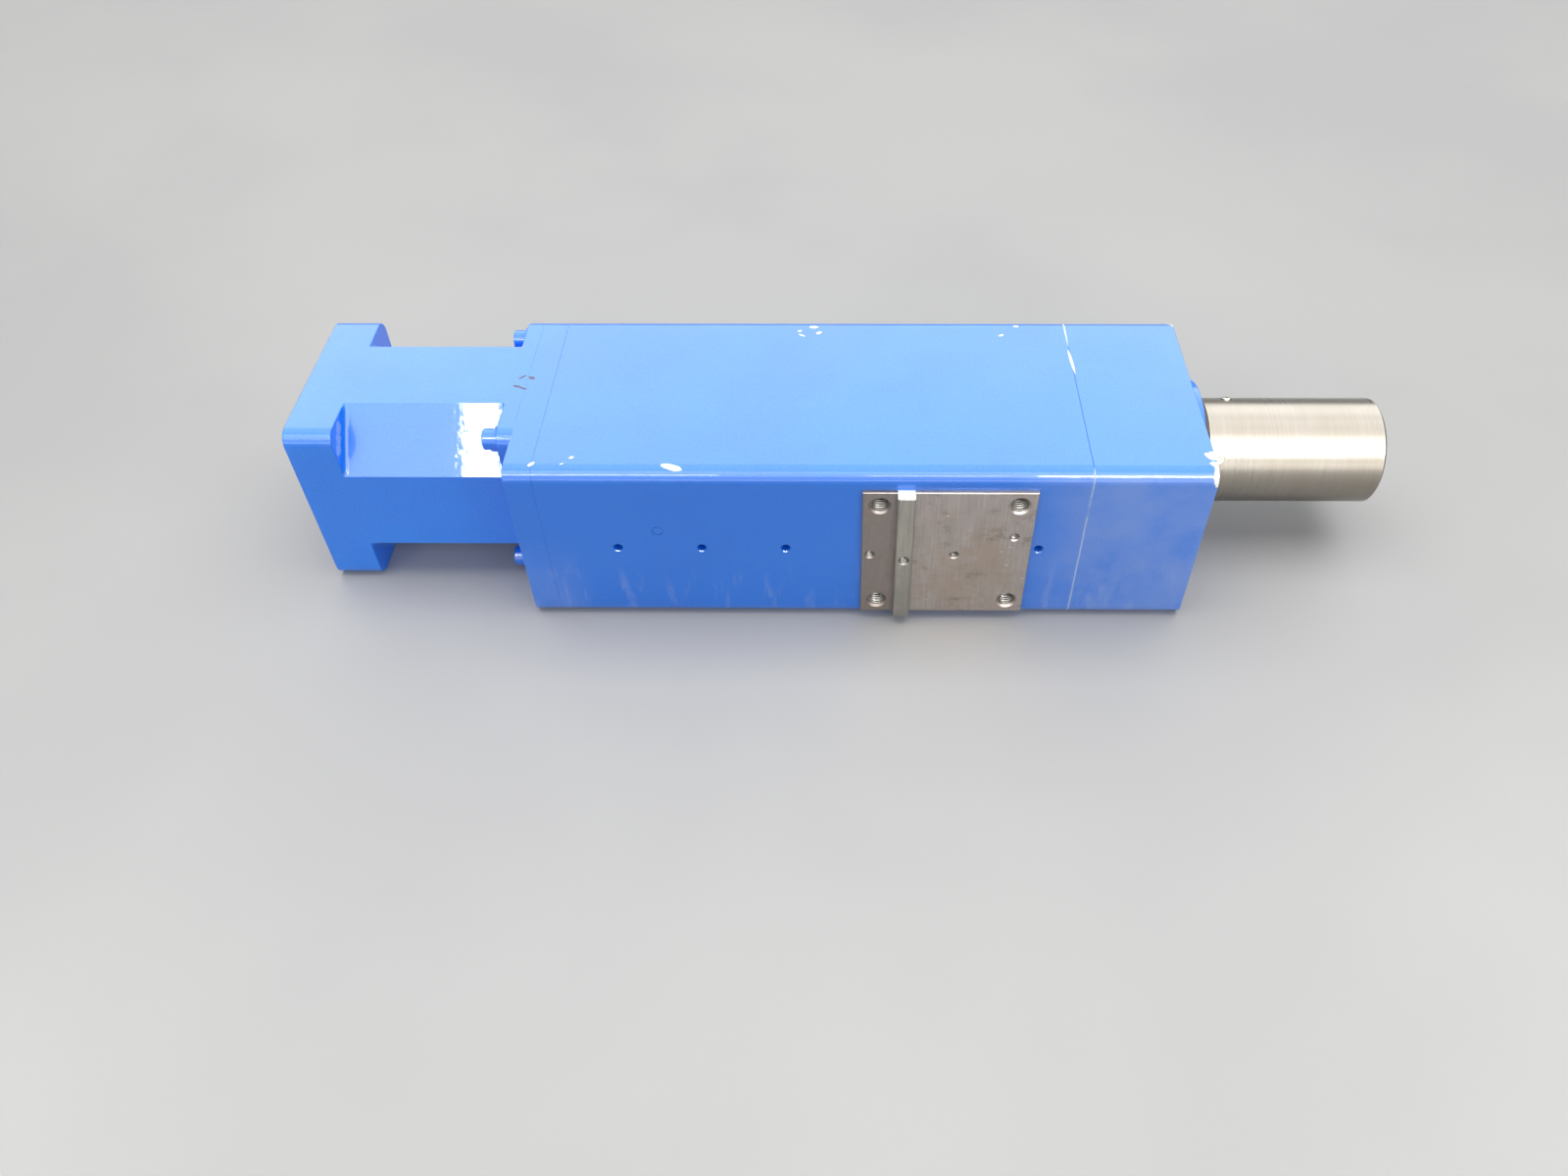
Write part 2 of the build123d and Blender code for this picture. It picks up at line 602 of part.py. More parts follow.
def hub(x, bore_r, jaw_first, jaw_x):
    """One hub of the coupling with its jaws, slit and clamp hole."""
    ring(COUPLING_R, bore_r, Plane.YZ.offset(x), HUB_L)
    jaws(jaw_first, jaw_x, SPIDER_L - JAW_GAP)
    with BuildSketch(Plane.YZ.offset(x)) as profile:
        with Locations((COUPLING_R / 2, 0)):
            Rectangle(COUPLING_R, SLIT_W)
    extrude(profile.sketch, amount=HUB_L, mode=Mode.SUBTRACT)
    with BuildSketch(Plane.XY.offset(-COUPLING_R)) as profile:
        with Locations((x + HUB_L / 2, CLAMP_Y)):
            Circle(CLAMP_HOLE_R)
    extrude(profile.sketch, amount=2 * COUPLING_R, mode=Mode.SUBTRACT)


with BuildPart() as coupling_hub_screw:
    hub(HUB_SCREW_X, JOURNAL_R + SEAT_GAP, 30, SPIDER_X + JAW_GAP)
save(coupling_hub_screw.part, "coupling_hub_screw")

with BuildPart() as coupling_hub_motor:
    hub(HUB_MOTOR_X, MOTOR_SHAFT_R, 90, SPIDER_X)
save(coupling_hub_motor.part, "coupling_hub_motor")

with BuildPart() as coupling_spider:
    spider_x = SPIDER_X + SPIDER_GAP
    spider_t = SPIDER_L - 2 * SPIDER_GAP
    ring(JAW_IN_R - 0.2, SPIDER_BORE_R, Plane.YZ.offset(spider_x), spider_t)
    for i in range(6):
        start = 60 * i - LEG_HALF_ANGLE
        sector(SPIDER_BORE_R + 1, COUPLING_R - 0.5, start, start + 2 * LEG_HALF_ANGLE, spider_x, spider_t)
save(coupling_spider.part, "coupling_spider")

with BuildPart() as coupling_screws:
    for x in (HUB_MOTOR_X, HUB_SCREW_X):
        with BuildSketch(Plane.XY.offset(-CLAMP_SCREW_L / 2)):
            with Locations((x + HUB_L / 2, CLAMP_Y)):
                Circle(CLAMP_SCREW_R)
        extrude(amount=CLAMP_SCREW_L)
        with BuildSketch(Plane.XY.offset(-CLAMP_SCREW_L / 2)):
            with Locations((x + HUB_L / 2, CLAMP_Y)):
                RegularPolygon(CLAMP_SOCKET_R, 6)
        extrude(amount=CLAMP_SOCKET_DEPTH, mode=Mode.SUBTRACT)
save(coupling_screws.part, "coupling_screws")

# ---------------------------------------------------------------- ball nut and ram

NUT_X = CAVITY_X + 8.0
NUT_FLANGE_R = 31.0
NUT_FLANGE_T = 12.0
NUT_BODY_R = 20.0
NUT_BODY_L = 40.0
RAM_FLANGE_X = NUT_X + NUT_FLANGE_T
RAM_FLANGE_T = 12.0
RAM_FLANGE_R = 34.0
REAR_BORE_R = 20.5
MID_BORE_R = 17.0
CELL_X = FRONT_X + 6.0
CELL_L = 30.0
NOSE_PLUG_L = 24.0
NOSE_TAP_R = 7.0
NOSE_TAP_DEPTH = 20.0
BAND_R = 33.0
BAND_L = 7.0
BAND_X = RAM_FLANGE_X + (RAM_FLANGE_T - BAND_L) / 2
STOP_KEY_W = 10.0
STOP_KEY_IN_R = 28.0        # inner end of the key that stops the ram from turning
STOP_KEY_OUT_R = RAM_CAVITY_R + SLOT_DEPTH - 0.5
NUT_SCREW_PCR = 25.5
NOSE_CHAMFER = 1.2
CELL_BORE_R = 12.0
WAIST_R = 18.5              # the load cell is slimmer over its middle
WAIST_X = CELL_X + 14.0
WAIST_L = 4.0
TUBE_BORE_R = 15.0
nut_screw_points = [
    (NUT_SCREW_PCR * math.cos(math.radians(60 * i + 30)), NUT_SCREW_PCR * math.sin(math.radians(60 * i + 30)))
    for i in range(6)
]
# Radial screws of the load cell: (distance from the front face, angle from +Y towards +Z)
radial_screws = [(17.0, 149.5), (26.0, 63.0), (17.0, 329.5), (26.0, 243.0)]
RADIAL_HEAD_R = 2.9
RADIAL_SEAT_R = 25.4
RADIAL_HEAD_TOP = 27.2
RADIAL_HEAD_EDGE = 0.6
RADIAL_HOLE_R = 1.6
RADIAL_HOLE_IN_R = 15.0     # inner end of the radial holes in the load cell
RADIAL_SHANK_R = 1.5
RADIAL_SHANK_L = 9.0
RECESS_L = 3.4              # cross recess of the radial screws
RECESS_W = 0.8
RECESS_DEPTH = 1.1


def radial_plane(x, angle, radius):
    """A plane whose normal points away from the X axis at the given angle."""
    a = math.radians(angle)
    normal = Vector(0, math.cos(a), math.sin(a))
    return Plane(origin=Vector(x, 0, 0) + normal * radius, x_dir=(1, 0, 0), z_dir=normal)


def on_head_rim(edge):
    """True for the outer rim of a radial screw's head."""
    centre = edge.arc_center
    return edge.radius > 2 and math.hypot(centre.Y, centre.Z) > RADIAL_HEAD_TOP - 0.01


with BuildPart() as ball_nut:
    disc(NUT_FLANGE_R, NUT_X, NUT_FLANGE_T)
    disc(NUT_BODY_R, RAM_FLANGE_X, NUT_BODY_L)
    disc(SCREW_R + RUN_GAP, NUT_X, NUT_FLANGE_T + NUT_BODY_L, Mode.SUBTRACT)
    holes_x(nut_screw_points, M5_CLEAR_R, NUT_X, NUT_FLANGE_T)
save(ball_nut.part, "ball_nut")

with BuildPart() as nut_wipers:
    ring(18.0, SCREW_R + RUN_GAP, Plane.YZ.offset(RAM_FLANGE_X + NUT_BODY_L + 0.1), 2.5)
save(nut_wipers.part, "nut_wipers")

with BuildPart() as nut_screws:
    cap_screws(nut_screw_points, NUT_X, -1, 5.0, NUT_FLANGE_T + 10)
save(nut_screws.part, "nut_screws")

with BuildPart() as ram:
    disc(RAM_FLANGE_R, RAM_FLANGE_X, RAM_FLANGE_T)
    disc(RAM_R, RAM_FLANGE_X, NOSE_X - RAM_FLANGE_X)
    chamfer(edges().filter_by(GeomType.CIRCLE).sort_by(Axis.X)[-1], NOSE_CHAMFER)
    disc(REAR_BORE_R, RAM_FLANGE_X, NUT_BODY_L + 8, Mode.SUBTRACT)
    disc(MID_BORE_R, RAM_FLANGE_X, CELL_X - RAM_FLANGE_X, Mode.SUBTRACT)
    disc(REAR_BORE_R, CELL_X, NOSE_X - CELL_X, Mode.SUBTRACT)
    holes_x(nut_screw_points, REAR_TAP_R, RAM_FLANGE_X, RAM_FLANGE_T)
    with BuildSketch(Plane.YZ.offset(BAND_X)):
        Circle(RAM_FLANGE_R + 1)
        Circle(BAND_R, mode=Mode.SUBTRACT)
    extrude(amount=BAND_L, mode=Mode.SUBTRACT)
    with BuildSketch(Plane.YZ.offset(RAM_FLANGE_X)):
        with Locations((-RAM_FLANGE_R, 0)):
            Rectangle(2 * (RAM_FLANGE_R - STOP_KEY_IN_R), STOP_KEY_W + 2 * SEAT_GAP)
    extrude(amount=RAM_FLANGE_T, mode=Mode.SUBTRACT)
    for distance, angle in radial_screws:
        with BuildSketch(radial_plane(FRONT_X + distance, angle, RADIAL_SEAT_R)):
            Circle(RADIAL_HEAD_R + SEAT_GAP)
        extrude(amount=4, mode=Mode.SUBTRACT)
        with BuildSketch(radial_plane(FRONT_X + distance, angle, REAR_BORE_R - 2)):
            Circle(RADIAL_HOLE_R)
        extrude(amount=8, mode=Mode.SUBTRACT)
save(ram.part, "ram")

with BuildPart() as guide_band:
    with BuildSketch(Plane.YZ.offset(BAND_X + SEAT_GAP)):
        Circle(RAM_CAVITY_R - GUIDE_GAP)
        Circle(BAND_R + SEAT_GAP, mode=Mode.SUBTRACT)
        with Locations((-BAND_R, 0)):
            Rectangle(4 * (RAM_CAVITY_R - BAND_R), STOP_KEY_W + 1, mode=Mode.SUBTRACT)
    extrude(amount=BAND_L - 2 * SEAT_GAP)
save(guide_band.part, "guide_band")

with BuildPart() as anti_rotation_key:
    with BuildSketch(Plane.YZ.offset(RAM_FLANGE_X)):
        with Locations((-(STOP_KEY_IN_R + STOP_KEY_OUT_R) / 2, 0)):
            Rectangle(STOP_KEY_OUT_R - STOP_KEY_IN_R, STOP_KEY_W)
    extrude(amount=RAM_FLANGE_T)
save(anti_rotation_key.part, "anti_rotation_key")

with BuildPart() as load_cell:
    ring(REAR_BORE_R - SEAT_GAP, CELL_BORE_R, Plane.YZ.offset(CELL_X), CELL_L)
    with BuildSketch(Plane.YZ.offset(WAIST_X)):
        Circle(REAR_BORE_R)
        Circle(WAIST_R, mode=Mode.SUBTRACT)
    extrude(amount=WAIST_L, mode=Mode.SUBTRACT)
    for distance, angle in radial_screws:
        with BuildSketch(radial_plane(FRONT_X + distance, angle, RADIAL_HOLE_IN_R)):
            Circle(RADIAL_HOLE_R)
        extrude(amount=8, mode=Mode.SUBTRACT)
save(load_cell.part, "load_cell")

with BuildPart() as load_tube:
    tube_x = CELL_X + CELL_L
    ring(REAR_BORE_R - SEAT_GAP, TUBE_BORE_R, Plane.YZ.offset(tube_x), NOSE_X - NOSE_PLUG_L - tube_x)
save(load_tube.part, "load_tube")

with BuildPart() as ram_nose:
    disc(REAR_BORE_R - SEAT_GAP, NOSE_X - NOSE_PLUG_L, NOSE_PLUG_L)
    disc(NOSE_TAP_R, NOSE_X - NOSE_TAP_DEPTH, NOSE_TAP_DEPTH, Mode.SUBTRACT)
save(ram_nose.part, "ram_nose")

with BuildPart() as ram_screws:
    for distance, angle in radial_screws:
        x = FRONT_X + distance
        with BuildSketch(radial_plane(x, angle, RADIAL_SEAT_R)):
            Circle(RADIAL_HEAD_R)
        extrude(amount=RADIAL_HEAD_TOP - RADIAL_SEAT_R)
        with BuildSketch(radial_plane(x, angle, RADIAL_SEAT_R)):
            Circle(RADIAL_SHANK_R)
        extrude(amount=-RADIAL_SHANK_L)
    fillet(edges().filter_by(GeomType.CIRCLE).filter_by(on_head_rim), RADIAL_HEAD_EDGE)
    for distance, angle in radial_screws:
        with BuildSketch(radial_plane(FRONT_X + distance, angle, RADIAL_HEAD_TOP)):
            Rectangle(RECESS_L, RECESS_W)
            Rectangle(RECESS_W, RECESS_L)
        extrude(amount=-RECESS_DEPTH, mode=Mode.SUBTRACT)
save(ram_screws.part, "ram_screws")
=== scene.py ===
import json
import math
import random

import bmesh
import bpy
from mathutils import Matrix, Vector


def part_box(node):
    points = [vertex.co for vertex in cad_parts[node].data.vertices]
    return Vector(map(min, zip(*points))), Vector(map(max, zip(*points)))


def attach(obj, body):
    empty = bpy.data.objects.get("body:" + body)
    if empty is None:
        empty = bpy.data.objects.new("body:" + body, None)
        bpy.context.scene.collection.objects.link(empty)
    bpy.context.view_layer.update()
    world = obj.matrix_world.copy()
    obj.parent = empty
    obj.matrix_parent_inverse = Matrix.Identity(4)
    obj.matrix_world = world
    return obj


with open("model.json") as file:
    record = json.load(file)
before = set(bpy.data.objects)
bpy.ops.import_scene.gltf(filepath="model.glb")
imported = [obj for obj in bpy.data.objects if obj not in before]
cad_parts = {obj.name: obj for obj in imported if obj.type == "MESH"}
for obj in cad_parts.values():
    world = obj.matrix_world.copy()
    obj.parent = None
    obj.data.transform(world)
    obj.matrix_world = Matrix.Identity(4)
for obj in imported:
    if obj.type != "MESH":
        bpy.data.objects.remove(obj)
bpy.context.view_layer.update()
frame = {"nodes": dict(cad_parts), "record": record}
nodes = frame["nodes"]
record = frame["record"]
MM = 0.001


# ---------------------------------------------------------------- places on the object

def low(node):
    """The lowest corner of a CAD node."""
    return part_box(node)[0]


def high(node):
    """The highest corner of a CAD node."""
    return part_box(node)[1]


def mount(name):
    """A mount of the record by its name."""
    return next(m for m in record["mounts"] if m["name"] == name)


NEAR_Y = low("casing").y            # painted face that carries the pad
FAR_Y = high("casing").y
TOP_Z = high("casing").z
BOTTOM_Z = low("casing").z
PAD_Y = low("mounting_pad").y
REAR_JOINT_X = low("casing").x
FRONT_JOINT_X = high("casing").x
FRONT_X = high("front_cap").x
PLATE_X = low("rear_plate").x
VALLEY_X = 23 * MM                  # front face of the motor flange, at the neck
NECK_CHAMFER = 25 * MM
PAD_MID = (low("mounting_pad") + high("mounting_pad")) / 2


# ---------------------------------------------------------------- node helpers

class Graph:
    """A material's node tree with short calls for the nodes this object needs."""

    def __init__(self, name):
        self.material = bpy.data.materials.new(name)
        self.material.use_nodes = True
        self.tree = self.material.node_tree
        self.shader = self.tree.nodes["Principled BSDF"]
        self.coords = self.node("ShaderNodeTexCoord").outputs["Object"]
        split = self.node("ShaderNodeSeparateXYZ")
        self.link(self.coords, split.inputs[0])
        self.x, self.y, self.z = split.outputs

    def node(self, kind, **settings):
        made = self.tree.nodes.new(kind)
        for key, value in settings.items():
            setattr(made, key, value)
        return made

    def link(self, source, target):
        """Link an output, or set a plain number or colour, on an input."""
        if isinstance(source, bpy.types.NodeSocket):
            self.tree.links.new(source, target)
        else:
            target.default_value = source

    def math(self, operation, a, b=0.0, c=None):
        made = self.node("ShaderNodeMath", operation=operation)
        self.link(a, made.inputs[0])
        self.link(b, made.inputs[1])
        if c is not None:
            self.link(c, made.inputs[2])
        return made.outputs[0]

    def vector(self, operation, a, b):
        made = self.node("ShaderNodeVectorMath", operation=operation)
        self.link(a, made.inputs[0])
        self.link(b, made.inputs[1])
        return made.outputs["Value" if operation == "LENGTH" else "Vector"]

    def stretch(self, scale, turn=(0, 0, 0)):
        """Object coordinates turned and scaled along each axis."""
        made = self.node("ShaderNodeMapping")
        self.link(self.coords, made.inputs["Vector"])
        made.inputs["Scale"].default_value = scale
        made.inputs["Rotation"].default_value = turn
        return made.outputs[0]

    def noise(self, scale, detail=2.0, rough=0.5, vector=None):
        made = self.node("ShaderNodeTexNoise")
        self.link(self.coords if vector is None else vector, made.inputs["Vector"])
        made.inputs["Scale"].default_value = scale
        made.inputs["Detail"].default_value = detail
        made.inputs["Roughness"].default_value = rough
        return made.outputs["Fac"]

    def ramp(self, value, low_in, high_in, low_out=0.0, high_out=1.0):
        made = self.node("ShaderNodeMapRange", interpolation_type="SMOOTHSTEP")
        self.link(value, made.inputs["Value"])
        limits = {"From Min": low_in, "From Max": high_in, "To Min": low_out, "To Max": high_out}
        for name, number in limits.items():
            made.inputs[name].default_value = number
        return made.outputs[0]

    def mix(self, factor, a, b):
        made = self.node("ShaderNodeMix", data_type="RGBA")
        self.link(factor, made.inputs["Factor"])
        self.link(a, made.inputs["A"])
        self.link(b, made.inputs["B"])
        return made.outputs["Result"]

    def bump(self, height, strength, distance, under=None):
        made = self.node("ShaderNodeBump")
        self.link(height, made.inputs["Height"])
        made.inputs["Strength"].default_value = strength
        made.inputs["Distance"].default_value = distance
        if under is not None:
            self.link(under, made.inputs["Normal"])
        return made.outputs[0]

    def set(self, **inputs):
        for name, value in inputs.items():
            self.link(value, self.shader.inputs[name.replace("_", " ")])
        return self.material


def rgb(red, green, blue):
    """A colour given as 0-255 screen values, turned to linear light."""
    linear = []
    for v in (red, green, blue):
        linear.append(v / 255 / 12.92 if v <= 10 else ((v / 255 + 0.055) / 1.055) ** 2.4)
    return (*linear, 1)


# ---------------------------------------------------------------- paint

class Chip:
    """A mark in the paint: centre, half sizes, turn about Z in degrees, colour and how ragged it is."""

    def __init__(self, centre, size, turn, colour, ragged=0.7, bare=1.0):
        self.centre = Vector(centre)
        self.size = Vector(size) * MM
        self.turn = math.radians(turn)
        self.colour = colour
        self.ragged = ragged
        self.bare = bare


CREAM = rgb(240, 238, 230)
GRIME = rgb(38, 40, 70)
# painted highlight colour for the flange's valley
VALLEY_HIGHLIGHT = rgb(128, 168, 228)
BLUE = rgb(14, 124, 236)
DEEP_BLUE = rgb(8, 112, 224)


def on_top(x, y):
    """A point on the top faces."""
    return (x, y, TOP_Z)


def scattered(rng, count, x_range, y_range, sizes, colour):
    """Small chips strewn over a stretch of the top."""
    made = []
    for _ in range(count):
        x = rng.uniform(*x_range)
        y = rng.uniform(*y_range)
        length = rng.uniform(*sizes)
        width = length * rng.uniform(0.3, 0.7)
        made.append(Chip(on_top(x, y), (length, width, 3), rng.uniform(-45, 45), colour, 0.8))
    return made


def chips_for():
    """Wear on the edges, corners and joints, and a painted highlight in the flange's valley, at plain
    fractions of the housings and seeded.
    """
    rng = random.Random(11)
    casing_length = FRONT_JOINT_X - REAR_JOINT_X
    depth = FAR_Y - NEAR_Y
    quarter = REAR_JOINT_X + casing_length / 4
    middle = REAR_JOINT_X + casing_length / 2
    # one larger chip on the near edge, and the worn corners of the front cap
    chips = [
        Chip(on_top(quarter, NEAR_Y + 5 * MM), (5, 1.5, 6), -15, CREAM, 0.5),
        Chip(on_top(FRONT_X, FAR_Y), (5, 8, 7), 25, CREAM, 0.6),
        Chip((FRONT_X, NEAR_Y, TOP_Z), (3, 7, 7), 0, CREAM, 0.8),
    ]
    # paint broken away over part of the front joint
    chips.append(Chip(on_top(FRONT_JOINT_X, NEAR_Y + depth * 0.7), (0.7, 10, 2), 3, CREAM, 0.5))
    chips.append(Chip(on_top(FRONT_JOINT_X, FAR_Y), (0.4, 25, 3), 0, CREAM, 0.5, 0.5))
    # small chips: far edge, near edge, front edge beside the ram, and dark specks at the adapter
    far_band = (FAR_Y - 15 * MM, FAR_Y - 2 * MM)
    near_band = (NEAR_Y + 5 * MM, NEAR_Y + 12 * MM)
    front_band = (NEAR_Y + 6 * MM, NEAR_Y + 26 * MM)
    speck_band = (NEAR_Y + depth / 2, NEAR_Y + depth * 0.6)
    chips += scattered(rng, 5, (middle - 10 * MM, middle + 10 * MM), far_band, (1.0, 2.5), CREAM)
    before_cap = (FRONT_JOINT_X - 40 * MM, FRONT_JOINT_X - 10 * MM)
    chips += scattered(rng, 3, before_cap, far_band, (1.0, 2.0), CREAM)
    chips += scattered(rng, 3, (REAR_JOINT_X, quarter - 20 * MM), near_band, (0.6, 2.0), CREAM)
    chips += scattered(rng, 4, (FRONT_X - 2 * MM, FRONT_X), front_band, (1.5, 3.5), CREAM)
    chips += scattered(rng, 4, (PLATE_X - 6 * MM, PLATE_X + 2 * MM), speck_band, (1.5, 2.5), GRIME)
    # painted highlight: pale bluish marks along the junction of the motor flange and the neck's chamfer,
    # standing in for the line of light caught there
    corner = low("motor_adapter").y + NECK_CHAMFER / 3
    corner_z = high("motor_adapter").z - NECK_CHAMFER / 3
    for step in (-1, 0, 1):
        shift = step * NECK_CHAMFER / 7
        chips.append(Chip((VALLEY_X, corner + shift, corner_z + shift), (0.9, 3, 3), 0, VALLEY_HIGHLIGHT, 1.4, 0.2))
    return chips


def chip_mask(graph, chip):
    """1 inside a ragged chip, 0 outside."""
    placed = graph.node("ShaderNodeMapping", vector_type="TEXTURE")
    graph.link(graph.coords, placed.inputs["Vector"])
    placed.inputs["Location"].default_value = chip.centre
    placed.inputs["Rotation"].default_value = (0, 0, chip.turn)
    placed.inputs["Scale"].default_value = chip.size
    wobble = graph.math("MULTIPLY", graph.math("SUBTRACT", graph.chip_noise, 0.5), chip.ragged)
    reach = graph.math("ADD", graph.vector("LENGTH", placed.outputs[0], (0, 0, 0)), wobble)
    return graph.ramp(reach, 1.04, 0.90)


def seam_mask(graph, x, width):
    """1 on the joint between two housings at x, fading over width."""
    wander = graph.math("MULTIPLY", graph.math("SUBTRACT", graph.noise(120.0), 0.5), width * 0.6)
    distance = graph.math("ABSOLUTE", graph.math("ADD", graph.math("SUBTRACT", graph.x, x), wander))
    return graph.ramp(distance, width, width * 0.4)


def paint_material():
    """Sprayed gloss enamel: light orange peel, faint clouding, scuffs, dirt in the joints and chips, with
    painted shade on the near side, painted light over the adapter's joint and a painted highlight in the
    flange's valley.
    """
    g = Graph("blue_enamel")
    g.chip_noise = g.noise(520.0, 3.0, 0.6)
    cloud = g.ramp(g.noise(14.0, 3.0, 0.6), 0.35, 0.68)
    colour = g.mix(g.math("MULTIPLY", cloud, 0.55), BLUE, DEEP_BLUE)
    # fine speckle of the sprayed film
    speckle = g.noise(900.0, 1.0, 0.5)
    colour = g.mix(g.ramp(speckle, 0.35, 0.75, 0.0, 0.10), colour, rgb(90, 168, 250))
    # painted shade: the near side is made a shade deeper, standing in for the lesser light that falls on it
    on_side = g.ramp(g.y, NEAR_Y + 3 * MM, NEAR_Y + 1 * MM)
    colour = g.mix(g.math("MULTIPLY", on_side, 0.5), colour, rgb(2, 100, 206))
    # dusty haze towards the front of the near side, and low beside the rear joint
    to_front = g.ramp(g.x, PAD_MID.x + 0.02, FRONT_JOINT_X + 0.012)
    patchy = g.ramp(g.noise(26.0, 5.0, 0.62), 0.30, 0.66, 0.35, 1.0)
    haze = g.math("MULTIPLY", g.math("MULTIPLY", on_side, to_front), patchy)
    by_rear_joint = g.ramp(g.x, REAR_JOINT_X + 22 * MM, REAR_JOINT_X - 2 * MM)
    rear_low = g.math("MULTIPLY", by_rear_joint, g.ramp(g.z, 0.01, -0.03))
    rear_haze = g.math("MULTIPLY", g.math("MULTIPLY", on_side, rear_low), patchy)
    haze = g.math("MAXIMUM", haze, g.math("MULTIPLY", rear_haze, 0.5))
    colour = g.mix(g.math("MULTIPLY", haze, 0.24), colour, rgb(190, 200, 212))
    # scuffs: short pale streaks and soft rub marks low on the near side
    low_side = g.math("MULTIPLY", on_side, g.ramp(g.z, 0.0, -0.034))
    streaks = g.noise(70.0, 5.0, 0.66, g.stretch((1.6, 1.0, 0.35), (0, 0.45, 0)))
    scuff = g.math("MULTIPLY", g.ramp(streaks, 0.52, 0.70), low_side)
    colour = g.mix(g.math("MULTIPLY", scuff, 0.16), colour, rgb(190, 204, 224))
    # pin-prick dust and tiny dark nibs in the film
    nibs = g.node("ShaderNodeTexVoronoi")
    g.link(g.coords, nibs.inputs["Vector"])
    nibs.inputs["Scale"].default_value = 190.0
    nib = g.math("MULTIPLY", g.ramp(nibs.outputs["Distance"], 0.09, 0.05), g.ramp(g.noise(45.0), 0.56, 0.62))
    colour = g.mix(g.math("MULTIPLY", nib, 0.4), colour, GRIME)
    # rear joint: a faint darker hairline
    colour = g.mix(g.math("MULTIPLY", seam_mask(g, REAR_JOINT_X, 0.35 * MM), 0.3), colour, rgb(38, 92, 176))
    # painted light: a lighter line over the adapter's joint, where the paint has nearly closed it, offsets
    # the shade in its narrow groove
    colour = g.mix(g.math("MULTIPLY", seam_mask(g, PLATE_X, 0.3 * MM), 0.22), colour, rgb(92, 170, 250))
    # front joint: dark hairline on top, cracked whitish line down the side
    front_seam = seam_mask(g, FRONT_JOINT_X, 0.45 * MM)
    colour = g.mix(g.math("MULTIPLY", front_seam, 0.2), colour, rgb(48, 92, 168))
    near_face = g.ramp(g.y, NEAR_Y + 6 * MM, NEAR_Y + 3 * MM)
    side_seam = g.math("MULTIPLY", seam_mask(g, FRONT_JOINT_X, 0.55 * MM), near_face)
    broken = g.ramp(g.noise(130.0, 3.0), 0.30, 0.46, 0.4, 0.9)
    colour = g.mix(g.math("MULTIPLY", side_seam, broken), colour, rgb(176, 196, 226))
    bare = None
    for chip in chips_for():
        mask = chip_mask(g, chip)
        colour = g.mix(mask, colour, chip.colour)
        strength = g.math("MULTIPLY", mask, chip.bare)
        bare = strength if bare is None else g.math("MAXIMUM", bare, strength)
    dull = g.math("MAXIMUM", g.math("MULTIPLY", haze, 0.5), scuff)
    film = g.ramp(g.noise(22.0, 3.0), 0.3, 0.7, 0.30, 0.36)
    roughness = g.math("ADD", film, g.math("MULTIPLY", dull, 0.14))
    roughness = g.math("MAXIMUM", roughness, g.math("MULTIPLY", bare, 0.62))
    peel = g.bump(g.noise(380.0, 1.5, 0.4), 0.045, 0.3 * MM)
    body = g.bump(g.noise(60.0, 2.0, 0.5), 0.03, 0.8 * MM, peel)
    edge = g.bump(g.math("SUBTRACT", 1.0, bare), 0.8, 0.12 * MM, body)
    g.shader.inputs["Specular IOR Level"].default_value = 0.28
    g.shader.inputs["Coat Weight"].default_value = 0.75
    g.shader.inputs["Coat Roughness"].default_value = 0.03
    g.link(body, g.shader.inputs["Coat Normal"])
    return g.set(Base_Color=colour, Roughness=roughness, Normal=edge)


# ---------------------------------------------------------------- metals

